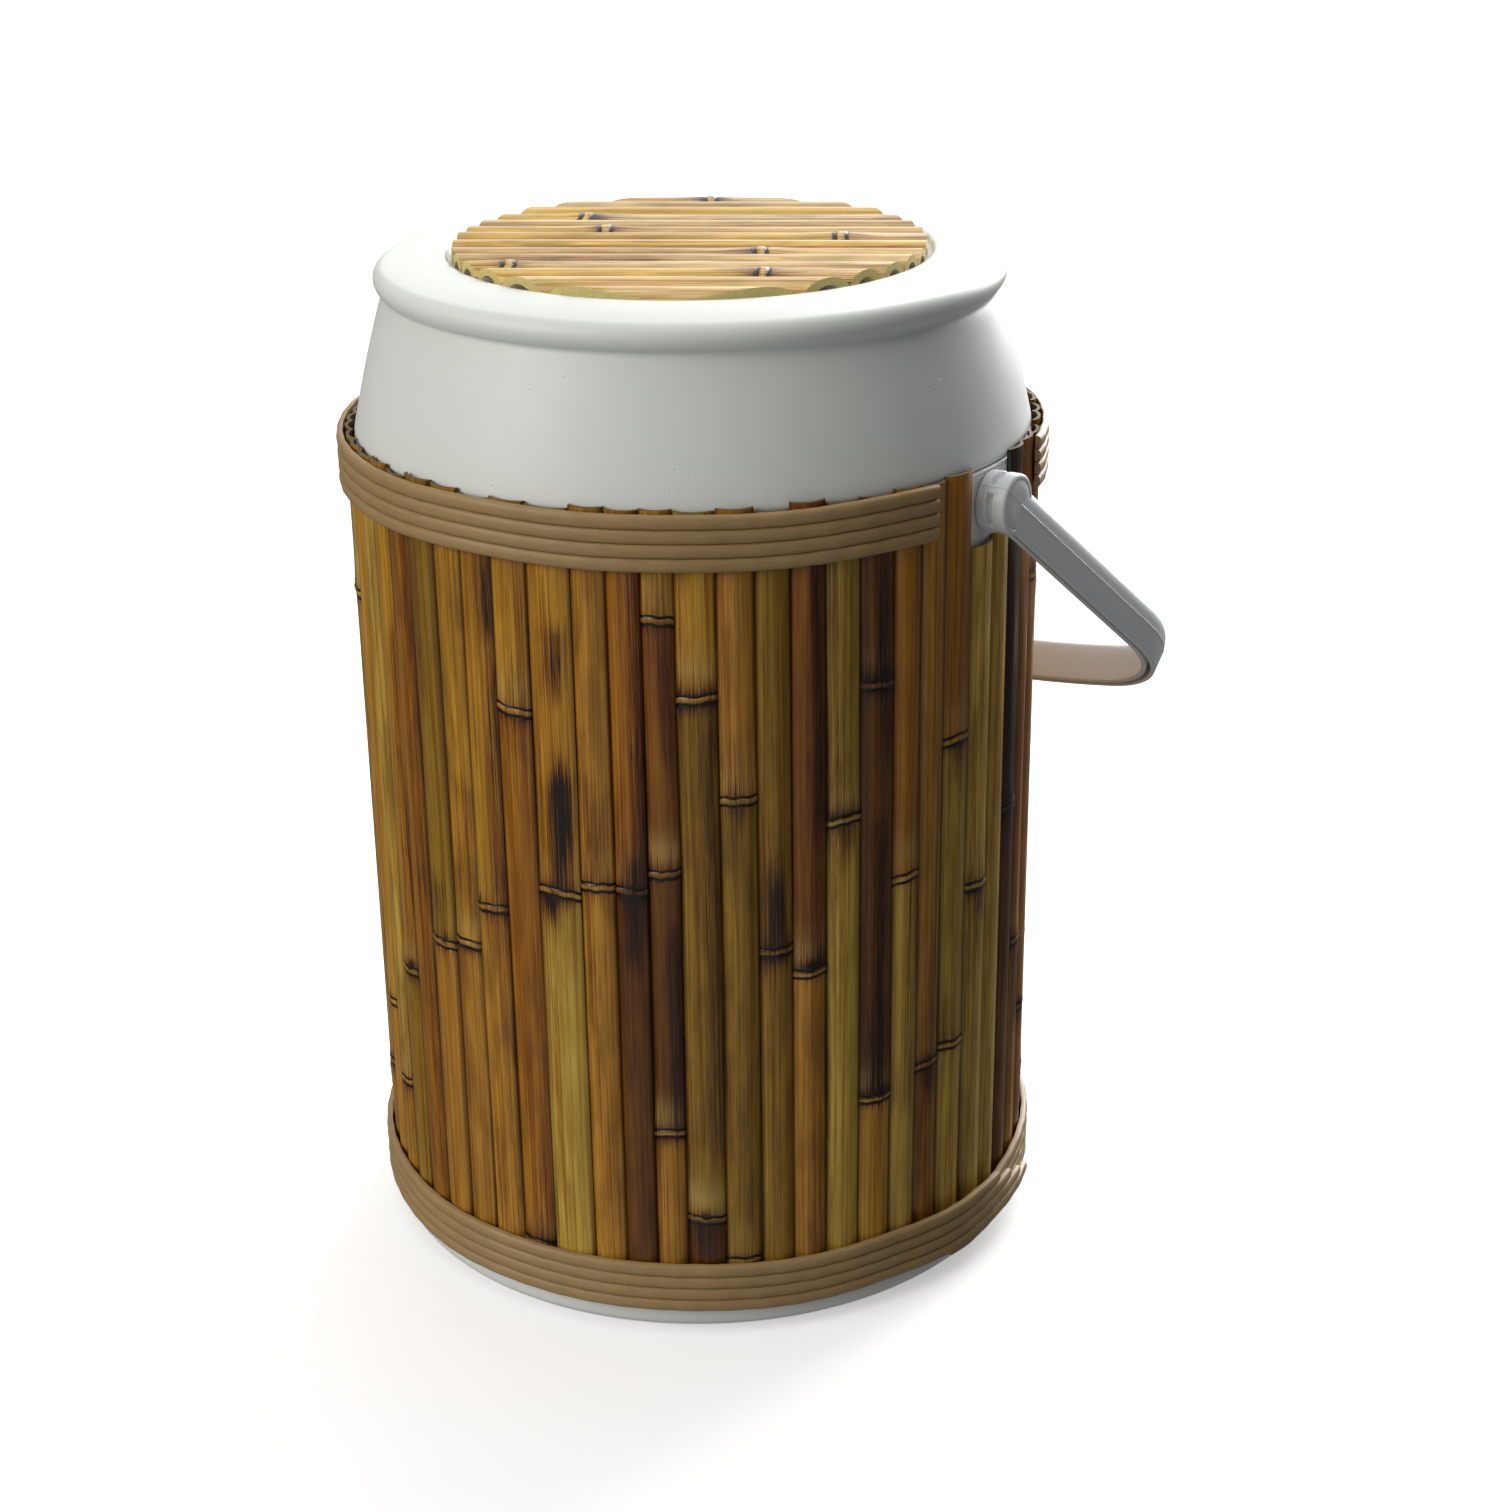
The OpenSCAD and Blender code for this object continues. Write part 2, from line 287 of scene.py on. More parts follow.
def rounded(corners, steps=6):
    """The closed outline through corners (x, y, reach), each eased off over its reach."""
    outline = []
    for k, (x, y, reach) in enumerate(corners):
        here = Vector((x, y))
        if not reach:
            outline.append(here)
            continue
        before = Vector(corners[k - 1][:2]) - here
        after = Vector(corners[(k + 1) % len(corners)][:2]) - here
        start = here + before.normalized() * min(reach, before.length * 0.49)
        end = here + after.normalized() * min(reach, after.length * 0.49)
        for s in range(steps + 1):
            t = s / steps
            outline.append(start * (1 - t) ** 2 + here * 2 * t * (1 - t) + end * t * t)
    return outline


def skinned(name, parts, material):
    """One piece from parts, each its rings and whether they loop."""
    verts = []
    faces = []
    for rings, loop in parts:
        new_verts, new_faces = skin(rings, loop)
        faces += [tuple(v + len(verts) for v in face) for face in new_faces]
        verts += new_verts
    return new_piece(name, verts, faces, [material])


def lathe(name, outline, material, steps=240):
    """The closed outline of (radius, z) points turned about the Z axis."""
    rings = [[(r * math.cos(a), r * math.sin(a), z) for r, z in outline]
             for a in (2 * math.pi * i / steps for i in range(steps))]
    return skinned(name, [(rings, True)], material)


def stands_for(piece, body, slot, *nodes):
    """Hides the CAD nodes that the piece shows, and moves it with their body."""
    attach(piece, body)
    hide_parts(*nodes)


# Materials ----------------------------------------

class Look:
    """A material being put together round its Principled shader."""

    def __init__(self, name, **sockets):
        self.material = bpy.data.materials.new(name)
        self.material.use_nodes = True
        self.tree = self.material.node_tree
        self.shader = self.tree.nodes["Principled BSDF"]
        for key, value in sockets.items():
            self.shader.inputs[key.replace("_", " ")].default_value = value

    def add(self, kind, inputs=(), **settings):
        node = self.tree.nodes.new(kind)
        for key, value in settings.items():
            setattr(node, key, value)
        for key, value in dict(inputs).items():
            self.plug(value, node.inputs[key])
        return node

    def plug(self, value, socket):
        if isinstance(value, bpy.types.NodeSocket):
            self.tree.links.new(value, socket)
        else:
            socket.default_value = value

    def into(self, key, value):
        self.plug(value, self.shader.inputs[key])

    def attribute(self, name, output="Fac"):
        return self.add("ShaderNodeAttribute", attribute_name=name).outputs[output]

    def place(self):
        return self.add("ShaderNodeTexCoord").outputs["Object"]

    def maths(self, operation, a, b=0.0, clamp=False):
        node = self.add("ShaderNodeMath", operation=operation, use_clamp=clamp)
        self.plug(a, node.inputs[0])
        self.plug(b, node.inputs[1])
        return node.outputs[0]

    def noise(self, vector, scale, detail=2.0, roughness=0.5):
        inputs = {"Vector": vector, "Scale": scale, "Detail": detail, "Roughness": roughness}
        return self.add("ShaderNodeTexNoise", inputs).outputs[0]

    def ramp(self, factor, *stops):
        """A colour ramp through (position, value) stops, where a value is a grey or a colour."""
        node = self.add("ShaderNodeValToRGB", {"Fac": factor})
        elements = node.color_ramp.elements
        while len(elements) < len(stops):
            elements.new(0.5)
        for element, (position, value) in zip(elements, stops):
            element.position = position
            element.color = value if isinstance(value, tuple) else (value, value, value, 1)
        return node.outputs[0]

    def mix(self, factor, a, b, blend="MIX"):
        node = self.add("ShaderNodeMix", data_type="RGBA", blend_type=blend)
        self.plug(factor, node.inputs[0])
        self.plug(a, node.inputs[6])
        self.plug(b, node.inputs[7])
        return node.outputs[2]

    def bump(self, height, distance, strength=1.0, normal=None):
        inputs = {"Height": height, "Distance": distance * MM, "Strength": strength}
        if normal:
            inputs["Normal"] = normal
        return self.add("ShaderNodeBump", inputs).outputs[0]


def cane_grain(look, across_scale, along_scale, detail):
    """Noise drawn out along a cane, and different on every cane."""
    place = look.add("ShaderNodeCombineXYZ", {
        "X": look.maths("MULTIPLY", look.attribute("across"), across_scale),
        "Y": look.maths("MULTIPLY", look.attribute("along"), along_scale),
        "Z": look.maths("MULTIPLY", look.attribute("seed"), 7.3)}).outputs[0]
    return look.noise(place, 1.0, detail)


def fresh_cane(look, fibre, streak, blotch):
    """The colour of cane before its scorches: two tones, dark streaks, fine fibres and pale sheaths."""
    colour = look.mix(look.ramp(blotch, (0.35, 0.0), (0.7, 1.0)), look.attribute("tint", "Color"),
                      look.attribute("shade", "Color"))
    dark_streak = look.ramp(streak, (0.42, 0.0), (0.66, 1.0))
    colour = look.mix(dark_streak, colour, rgba((212, 186, 136)), "MULTIPLY")
    colour = look.mix(0.5, colour, look.ramp(fibre, (0.3, 0.72), (0.7, 1.12)), "MULTIPLY")
    return look.mix(look.attribute("pale"), colour, rgba((204, 176, 104)))


def scorched(look, colour, smear):
    """Browns the colour and then blackens it where the cane was burnt and where patches of painted shade lie
    on the right flanks of the front canes, with wispy edges.
    """
    wisps = cane_grain(look, 1.9, 0.012, 3.0)
    uneven = look.maths("ADD", smear, look.maths("MULTIPLY", wisps, 2.0))
    burn_and_shade = look.maths("ADD", look.attribute("burn"), look.maths("SUBTRACT", uneven, 1.5))
    brown = look.ramp(burn_and_shade, (0.08, 0.0), (0.62, 1.0))
    colour = look.mix(look.maths("MULTIPLY", brown, 0.8), colour, rgba((160, 114, 50)), "MULTIPLY")
    black = look.ramp(burn_and_shade, (0.6, 0.0), (1.05, 1.0))
    return look.mix(black, colour, rgba((30, 15, 3)))


def bamboo(name, **sockets):
    """Scorched and varnished cane, darkened towards its long edges as painted shade. It reads what cane()
    writes on each point.
    """
    look = Look(name, Specular_IOR_Level=0.25, **sockets)
    fibre = cane_grain(look, 5.0, 0.02, 3.0)
    streak = cane_grain(look, 0.7, 0.007, 3.0)
    blotch = cane_grain(look, 0.16, 0.03, 2.0)
    smear = cane_grain(look, 1.6, 0.07, 4.0)
    colour = scorched(look, fresh_cane(look, fibre, streak, blotch), smear)
    broken = look.maths("ADD", look.attribute("ring"), look.maths("MULTIPLY", smear, 0.5))
    colour = look.mix(look.ramp(broken, (0.55, 0.0), (0.8, 1.0)), colour, rgba((20, 11, 6)))
    # Painted shade: the colour falls to 0.45 at a cane's long edges, for the shade in the gaps between
    # canes.
    edge = look.ramp(look.attribute("edge"), (0.8, 1.0), (0.99, 0.45))
    look.into("Base Color", look.mix(1.0, colour, edge, "MULTIPLY"))
    look.into("Roughness", look.ramp(blotch, (0.3, 0.32), (0.7, 0.44)))
    look.into("Normal", look.bump(fibre, 0.08, 0.5, look.bump(streak, 0.25, 0.4)))
    return look.material


def cut_bamboo(name, tone, deep_tone):
    """The cut end of a cane: fine dark pores in a paler ground."""
    look = Look(name, Roughness=0.7)
    pores = look.noise(look.place(), 2600.0, 2.0)
    colour = look.mix(look.ramp(pores, (0.42, 0.0), (0.62, 1.0)), rgba(tone), rgba(deep_tone))
    look.into("Base Color", colour)
    look.into("Normal", look.bump(pores, 0.15, 0.5))
    return look.material


def plastic(name, tone, roughness, peel=0.02, pits=0.0):
    """Moulded plastic with a faint orange peel, a little uneven tone and, where asked, pinholes."""
    look = Look(name, Specular_IOR_Level=0.42)
    place = look.place()
    cloud = look.noise(place, 14.0, 3.0)
    darker = tuple(c * 0.94 for c in linear(tone))
    look.into("Base Color", look.mix(cloud, rgba(tone), (*darker, 1)))
    wear = look.noise(place, 60.0, 3.0)
    look.into("Roughness", look.ramp(wear, (0.3, roughness - 0.05), (0.7, roughness + 0.06)))
    normal = look.bump(look.noise(place, 420.0, 2.0), peel, 0.6)
    if pits:
        cells = look.add("ShaderNodeTexVoronoi", {"Vector": place, "Scale": 150.0})
        hole = look.ramp(cells.outputs["Distance"], (0.05, 0.0), (0.14, 1.0))
        rare = look.ramp(look.noise(place, 22.0, 2.0), (0.56, 1.0), (0.62, 0.0))
        normal = look.bump(look.maths("MAXIMUM", hole, rare), pits, 0.7, normal)
    look.into("Normal", normal)
    return look.material


def band_look():
    """Satin vinyl edging with drawn lines along it."""
    look = Look("band_vinyl", Specular_IOR_Level=0.35)
    drawn_out = look.add("ShaderNodeMapping", {"Vector": look.place(), "Scale": (1.0, 1.0, 9.0)})
    drawn = look.noise(drawn_out.outputs[0], 90.0, 3.0)
    cloud = look.noise(look.place(), 25.0, 3.0)
    colour = look.mix(cloud, rgba((172, 142, 98)), rgba((150, 122, 80)))
    lines = look.ramp(drawn, (0.3, 0.7), (0.7, 1.1))
    look.into("Base Color", look.mix(0.35, colour, lines, "MULTIPLY"))
    look.into("Roughness", look.ramp(cloud, (0.3, 0.42), (0.7, 0.55)))
    look.into("Normal", look.bump(drawn, 0.08, 0.5))
    return look.material


def foam_look():
    """Expanded foam: pale beads pressed together."""
    look = Look("foam_beads", Roughness=0.85)
    cells = look.add("ShaderNodeTexVoronoi", {"Vector": look.place(), "Scale": 330.0})
    distance = cells.outputs["Distance"]
    look.into("Base Color", look.ramp(distance, (0.0, rgba((246, 243, 232))), (0.7, rgba((222, 216, 198)))))
    look.into("Normal", look.bump(distance, 0.4, 0.6))
    return look.material


# Canes ----------------------------------------

class CaneStyle:
    """How the canes of one row are shaped: the rise of their round above upright sides, and so on."""

    def __init__(self, thickness, rise, steps, spacing, joint_scale=1.0, flare=1.0):
        self.thickness = thickness
        self.rise = rise
        self.steps = steps
        self.spacing = spacing
        self.joint_scale = joint_scale
        self.flare = flare


WALL_STYLE = CaneStyle(thickness=1.6, rise=2.6, steps=14, spacing=12)
LID_STYLE = CaneStyle(thickness=3.4, rise=20, steps=14, spacing=8, joint_scale=1.45, flare=1.3)
SLICED_STYLE = CaneStyle(thickness=6.6, rise=20, steps=60, spacing=3, joint_scale=1.45, flare=1.7)


def stations(low, high, joints, style):
    """Places of a cane's rings of points: close together at its joints, far apart between them."""
    places = {low, low + 0.8, high - 0.8, high}
    places |= {low + style.spacing * k for k in range(1, int((high - low) / style.spacing))}
    for joint in joints:
        places |= {joint + side * offset * style.joint_scale for side in (-1, 1) for offset in JOINT_OFFSETS}
    kept = [low]
    for place in sorted(places):
        if low < place <= high and place - kept[-1] > 0.25:
            kept.append(place)
    kept[-1] = high
    return np.array(kept)


class CaneMarks:
    """How its joints, scorches and patches of painted shade shape and colour a cane, with a value for each
    outer point.
    """

    def __init__(self, place, arc, turn):
        self.place = place
        self.arc = arc
        self.turn = turn
        for key in ("swell", "lump", "flute", "warp", "ring", "burn", "pale"):
            setattr(self, key, np.zeros(np.broadcast(place, arc).shape))

    def add_joint(self, joint, width, side, style, draw):
        off = (self.place - joint) / style.joint_scale
        self.add_swelling(off, style.flare, draw)
        self.add_lines(off, draw)
        self.add_burn(off, draw)
        self.pale += draw.uniform(0, 0.4) * bell(off, draw.uniform(8, 13), 8)
        tilt = draw.uniform(-0.8, 0.8)
        sag = draw.uniform(-1.1, 0.3)
        self.warp += (tilt * self.turn + sag * self.turn ** 2) * bell(off, 0, 14)
        if draw.random() < FLUTE_SHARE:
            self.add_flute(off, width, side, draw)
        if draw.random() < BUD_SHARE:
            self.add_bud(off, draw.uniform(-0.5, 0.5) * width)

    def add_swelling(self, off, flare, draw):
        """The joint's ridge and broad swelling, with a nick at each of its two lines."""
        self.swell += flare * (0.22 * bell(off, 0, 1.6) + draw.uniform(0.25, 0.45) * bell(off, 0, 8))
        self.swell -= 0.3 * (bell(off, JOINT_LINE, 0.45) + bell(off, -JOINT_LINE, 0.45))

    def add_lines(self, off, draw):
        """The two dark lines round the joint, which waver a little."""
        waver = 0.3 * np.sin(self.arc * draw.uniform(0.5, 1.1) + draw.uniform(0, 6))
        for line, half_width in ((JOINT_LINE, 1.0), (-JOINT_LINE, 1.25)):
            nearness = np.clip(1.2 - np.abs(off - line - waver) / half_width, 0, 1)
            self.ring += draw.uniform(0.75, 1) * nearness

    def add_burn(self, off, draw):
        """Scorch that fades away on both sides of the joint, here quickly and there slowly."""
        below = draw.uniform(0.35, 0.95) * np.exp(-np.abs(off + 2) / draw.uniform(2, 5)) * (off < -1.5)
        above = draw.uniform(0.1, 0.8) * np.exp(-np.abs(off - 2) / draw.uniform(2, 7)) * (off > 1.5)
        far_above = draw.choice((0, 0.25, 0.45)) * np.exp(-np.abs(off) / draw.uniform(18, 45)) * (off > 0)
        far_below = draw.choice((0, 0.2, 0.35)) * np.exp(-np.abs(off) / draw.uniform(15, 40)) * (off < 0)
        self.burn += below + above + far_above + far_below

    def add_flute(self, off, width, side, draw):
        """The groove that a side branch leaves above its joint."""
        start = draw.uniform(-0.25, 0.25) * width + side * width * 0.12
        fade = smooth_step(1, 14, off) * (1 - smooth_step(60, draw.uniform(110, 190), off))
        self.flute += draw.uniform(0.4, 0.8) * fade * bell(self.arc, start, draw.uniform(1.0, 1.8))

    def add_bud(self, off, knot):
        """The scorched stub of a side branch."""
        self.lump += 0.9 * (bell(off, 1.5, 2.2) * bell(self.arc, knot, 1.9))
        self.burn += 0.7 * bell(off, 3.5, 2.5) * bell(self.arc, knot, 2.2)

    # A darkening patch added to the burn: a burn mark, and on the front canes' right halves painted shade
    # too.
    def add_scorch_and_side_shade(self, bottom, top, centre, width, strength):
        rising = smooth_step(bottom - 14, bottom + 14, self.place)
        falling = 1 - smooth_step(top - 8, top + 8, self.place)
        self.burn += strength * (rising * falling) * bell(self.arc, centre, 0.3 * width)


def cane_tones(tones, draw):
    """The tint of each internode from the bottom up, and the deeper shade of each."""
    tints = []
    shades = []
    for name in tones.split():
        tint = np.array(linear(TONES[name])) * draw.uniform(0.88, 1.1)
        depth = draw.uniform(0.5, 0.85)
        tints.append(tint)
        shades.append(tint * depth * np.array((1, draw.uniform(0.9, 1.0), draw.uniform(0.6, 0.9))))
    return np.array(tints), np.array(shades)


def cane(width, height, low, high, pattern, seed, style):
    """One split cane along its own Z, with its flat back on y = 0 and its right on +x.

    Returns its rings as an array (ring, point, xyz), and the values that bamboo() reads.
    """
    joints, tones, scorches = pattern
    draw = random.Random(seed)
    rise = min(height, style.rise)
    radius = (width * width / 4 + rise * rise) / (2 * rise)
    spread = math.asin(min(1, width / 2 / radius))
    hollow = radius - style.thickness
    inner_spread = math.acos(max(-1, min(1, (radius - height) / hollow)))
    turn = np.concatenate(([-1], np.linspace(-1, 1, style.steps - 1), [1]))
    place = stations(low, high, joints, style)[:, None]
    marks = CaneMarks(place, (turn * spread * radius)[None, :], turn)
    bend = 0.25 * np.sin(place / draw.uniform(50, 80) + draw.uniform(0, 6))
    side = draw.choice((-1, 1))
    for joint in joints:
        side = -side
        marks.add_joint(joint, width, side, style, draw)
    # The pattern's patches: burn marks, and painted shade on the right flanks of the front canes.
    for bottom, top, where, strength in scorches:
        marks.add_scorch_and_side_shade(bottom, top, where * spread * radius, width, strength)
    dark_side = draw.choice((-1, 1)) * draw.uniform(0, 0.3)
    marks.burn += dark_side * turn

    reach = radius + marks.swell + marks.lump - marks.flute
    crest = np.maximum(height - radius + reach * np.cos(turn * spread), 0)
    crest[:, (0, -1)] = 0
    outer = np.stack((reach * np.sin(turn * spread) + bend, crest, place + marks.warp), axis=2)
    inner_turn = turn[::-1] * inner_spread
    roof = np.maximum(height - radius + hollow * np.cos(inner_turn), 0) + np.zeros_like(bend)
    inner = np.stack((hollow * np.sin(inner_turn) + bend, roof, place + marks.warp[:, ::-1]), axis=2)
    rings = np.concatenate((outer, inner), axis=1)
    rings[0, :, 2] = low
    rings[-1, :, 2] = high
    return rings, cane_values(marks, joints, cane_tones(tones, draw), seed)


def cane_values(marks, joints, tones, seed):
    """The values that bamboo() reads, one for each point of the cane's rings."""
    tints, shades = tones
    ring_count, outer_count = marks.burn.shape
    internode = sum((marks.place[:, 0] > joint).astype(int) for joint in joints)
    pick = np.minimum(np.zeros(ring_count, int) + internode, len(tints) - 1)

    def both(values):
        """A value per outer point, repeated for the inner points behind them."""
        values = values * np.ones_like(marks.burn)
        return np.concatenate((values, values[:, ::-1]), axis=1).ravel()

    return {
        "across": both(marks.arc),
        "along": both(marks.place),
        "seed": np.full(ring_count * 2 * outer_count, seed % 97, float),
        "ring": both(np.clip(marks.ring, 0, 1)),
        # Burn, with the front canes' patches of painted shade on their right flanks added in.
        "burn": both(np.clip(marks.burn, -0.3, 1.3)),
        "pale": both(np.clip(marks.pale, 0, 0.7)),
        # Painted shade: 0 in a cane's middle, 1 at its long edges, where bamboo() darkens it as gap shade.
        "edge": both(np.abs(marks.turn)),
        "tint": np.repeat(tints[pick], 2 * outer_count, axis=0),
        "shade": np.repeat(shades[pick], 2 * outer_count, axis=0),
    }


def cane_faces(ring_count, size, first):
    """Faces of one cane and the look of each: outside, cut or hollow side."""
    steps = size // 2 - 1
    faces = []
    slots = []
    for i in range(ring_count - 1):
        a = first + i * size
        for j in range(size):
            k = (j + 1) % size
            faces.append((a + j, a + k, a + size + k, a + size + j))
            is_flank = j in (steps, size - 1)
            slots.append(OUTSIDE_LOOK if j < steps else CUT_LOOK if is_flank else HOLLOW_LOOK)
    for end in (first, first + (ring_count - 1) * size):
        for j in range(steps):
            faces.append((end + j, end + j + 1, end + size - 2 - j, end + size - 1 - j))
            slots.append(CUT_LOOK)
    return faces, slots


def join_canes(name, canes, looks):
    """One piece from placed canes, each given by its rings in the frame and its values."""
    verts = []
    faces = []
    slots = []
    gathered = {}
    for rings, values in canes:
        new_faces, new_slots = cane_faces(rings.shape[0], rings.shape[1], len(verts))
        verts += [tuple(point) for point in rings.reshape(-1, 3)]
        faces += new_faces
        slots += new_slots
        for key, value in values.items():
            gathered.setdefault(key, []).append(value)
    attributes = {key: np.concatenate(value) for key, value in gathered.items()}
    piece = new_piece(name, verts, faces, looks, slots, attributes)
    mark_sharp(piece, 60)
    return piece


def loose_parts(node):
    """The separate solids of a CAD node, each as an array of points in millimetres."""
    bm = bmesh.new()
    bm.from_mesh(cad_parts[node].data)
    bmesh.ops.remove_doubles(bm, verts=bm.verts, dist=0.02 * MM)
    left = set(bm.verts)
    parts = []
    while left:
        grown = [left.pop()]
        for vert in grown:
            for edge in vert.link_edges:
                other = edge.other_vert(vert)
                if other in left:
                    left.discard(other)
                    grown.append(other)
        parts.append(np.array([vert.co for vert in grown]) / MM)
    bm.free()
    return parts


def measure_wall_cane(points):
    """Angle, chord, distance of the back from the axis, and lowest and highest point of a CAD cane."""
    rough = math.atan2(points[:, 1].mean(), points[:, 0].mean())
    out = points[:, 0] * math.cos(rough) + points[:, 1] * math.sin(rough)
    side = points[:, 1] * math.cos(rough) - points[:, 0] * math.sin(rough)
    angle = math.degrees(rough) + math.degrees((side.max() + side.min()) / 2 / out.min())
    return angle, side.max() - side.min(), out.min(), points[:, 2].min(), points[:, 2].max()


def random_canes(count, draw):
    """Joints, tones and scorches for the canes that the camera doesn't face."""
    made = []
    for _ in range(count):
        joints = []
        at = draw.uniform(30, 200)
        while at < 375:
            joints.append(round(at))
            at += draw.uniform(150, 290)
        tones = " ".join(draw.choice(HIDDEN_TONES) for _ in range(len(joints) + 1))
        scorches = []
        if draw.random() < 0.6:
            low = draw.uniform(30, 300)
            high = low + draw.uniform(40, 120)
            scorches.append((low, high, draw.uniform(-0.7, 0.7), draw.uniform(0.3, 0.8)))
        made.append((tuple(joints), tones, tuple(scorches)))
    return made


def find_wall_canes(groups):
    """The CAD's wall canes in order round the drum, from the first one that the camera faces."""
    found = [(*measure_wall_cane(part), group) for group in groups for part in loose_parts(group)]
    return sorted(found, key=lambda cane_found: (cane_found[0] - FIRST_CANE_ANGLE) % 360)


def stood_on_wall(rings, angle, back):
    """The rings of a cane moved to its angle round the drum, with its back at that radius."""
    turn = math.radians(angle)
    across = rings[..., 0]
    out = back + rings[..., 1]
    return np.stack((out * math.cos(turn) - across * math.sin(turn),
                     out * math.sin(turn) + across * math.cos(turn),
                     rings[..., 2]), axis=2)


def wall_canes():
    """Replaces each CAD group of wall canes, cane by cane, in order round the drum."""
    groups = sorted(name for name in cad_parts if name.startswith("wall_canes_"))
    found = find_wall_canes(groups)
    draw = random.Random(11)
    patterns = FRONT_CANES + random_canes(len(found) - len(FRONT_CANES) - 1, draw) + [LAST_CANE]
    looks = [bamboo("wall_bamboo", Coat_Weight=0.3, Coat_Roughness=0.2),
             cut_bamboo("wall_bamboo_cut", (120, 96, 48), (60, 42, 20)),
             # Painted shade: the hollow side is darker than the cut end, for the shade inside the hollow.
             cut_bamboo("wall_bamboo_hollow", (92, 66, 36), (50, 34, 20))]
    placed = {group: [] for group in groups}
    for index, ((angle, chord, back, low, high, group), pattern) in enumerate(zip(found, patterns)):
        height = draw.uniform(4.0, 4.8)
        top = high + draw.uniform(*RAISED_BY)
        joints = [joint for joint in pattern[0] if low + 4 < joint < top - 4]
        rings, values = cane(chord + 0.25, height, low, top, (joints, *pattern[1:]), index + 1, WALL_STYLE)
        placed[group].append((stood_on_wall(rings, angle, back), values))
    for group, canes in placed.items():
        piece = join_canes(group.replace("wall_canes", "split_canes"), canes, looks)
        stands_for(piece, "drum", "wall_cane", group)


def cut_look_on_slice(piece, cut_r):
    """Gives the cut look to the flank that the round of the recess has sliced off."""
    mesh = piece.data
    for face in mesh.polygons:
        if all(mesh.vertices[k].co.xy.length > (cut_r - 0.02) * MM for k in face.vertices):
            face.material_index = CUT_LOOK


def ends_cut(rings, centre, cut_r):
    """Lateral place, rise and place along of a lid cane whose ends follow the round."""
    lateral = centre + rings[..., 0]
    limit = np.sqrt(cut_r ** 2 - lateral ** 2)
    return lateral, rings[..., 1], np.clip(rings[..., 2], -limit, limit)


def flank_cut(rings, centre, cut_r, width, height):
    """The same for an outermost cane, whose flank is sliced upright along the round."""
    lateral = centre + rings[..., 0]
    rise = rings[..., 1]
    along = rings[..., 2]
    limit = np.sqrt(np.maximum(cut_r ** 2 - along ** 2, 0))
    radius = (width * width / 4 + height * height) / (2 * height)
    cut_rise = np.sqrt(np.maximum(radius ** 2 - (limit - abs(centre)) ** 2, 0)) - radius + height
    rise = np.where(abs(lateral) > limit, np.minimum(rise, np.maximum(cut_rise, 0)), rise)
    return np.clip(lateral, -limit, limit), rise, along


def lid_cane(index, pattern, looks):
    """Replaces one half-round lid cane, cut to the round of the recess."""
    node = f"lid_cane_{index + 1}"
    turn = math.radians(LID_CANE_TURN)
    points = loose_parts(node)[0]
    side = points[:, 1] * math.cos(turn) - points[:, 0] * math.sin(turn)
    centre = (side.max() + side.min()) / 2
    width = side.max() - side.min()
    base = points[:, 2].min()
    draw = random.Random(400 + index)
    outermost = index in (0, len(LID_CANES) - 1)
    cut_r = LID_CANE_REACH - (1 if outermost else draw.uniform(0, LID_CANE_SPREAD))
    nearest = min(abs(side.max()), abs(side.min()))
    longest = cut_r if side.max() * side.min() < 0 else math.sqrt(cut_r ** 2 - nearest ** 2)
    height = points[:, 2].max() - base - (draw.uniform(0, LID_CANE_SPREAD) + outermost)
    joints = [joint for joint in pattern[0] if abs(joint) < longest - 6]
    style = SLICED_STYLE if outermost else LID_STYLE
    rings, values = cane(width, height, -longest, longest, (joints, *pattern[1:]), 200 + index, style)
    if outermost:
        lateral, rise, along = flank_cut(rings, centre, cut_r, width, height)
    else:
        lateral, rise, along = ends_cut(rings, centre, cut_r)
    placed = np.stack((along * math.cos(turn) - lateral * math.sin(turn),
                       along * math.sin(turn) + lateral * math.cos(turn),
                       base + rise), axis=2)
    piece = join_canes(f"half_round_cane_{index + 1}", [(placed, values)], looks)
    if outermost:
        cut_look_on_slice(piece, cut_r)
    stands_for(piece, "lid", "lid_cane", node)


def lid_canes():
    looks = [bamboo("lid_bamboo", Coat_Weight=0.6, Coat_Roughness=0.42),
             cut_bamboo("lid_bamboo_cut", (222, 206, 138), (186, 170, 100)),
             # Painted shade: the hollow side is darker and more purple than the cut end, for the shade
             # inside the hollow.
             cut_bamboo("lid_bamboo_hollow", (190, 180, 136), (150, 112, 128))]
    for index, pattern in enumerate(LID_CANES):
        lid_cane(index, pattern, looks)


# Lid and drum ----------------------------------------

def lid_top_outline(top, rim_z, crown_angle):
    """The recess, the crowned top and the rolled rim, from the middle of the lid outwards."""
    recess_z = top - RECESS_D
    edge_r = RECESS_R + RECESS_EDGE
    crown_end = RIM_CENTRE_R + RIM_ROUND_R * math.sin(crown_angle)
    outline = [(0, recess_z), (RECESS_R - 1.2, recess_z), (RECESS_R - 0.2, recess_z + 0.4),
               (RECESS_R + 0.3, top - 0.9), (edge_r, top - 0.2)]
    for k in np.linspace(0.1, 0.95, 10):
        outline.append((edge_r + (crown_end - edge_r) * k, top - CROWN_H * k * k))
    for angle in np.linspace(math.pi / 2 - crown_angle, -math.radians(62), 22):
        outline.append((RIM_CENTRE_R + RIM_ROUND_R * math.cos(angle), rim_z + RIM_ROUND_R * math.sin(angle)))
    return outline


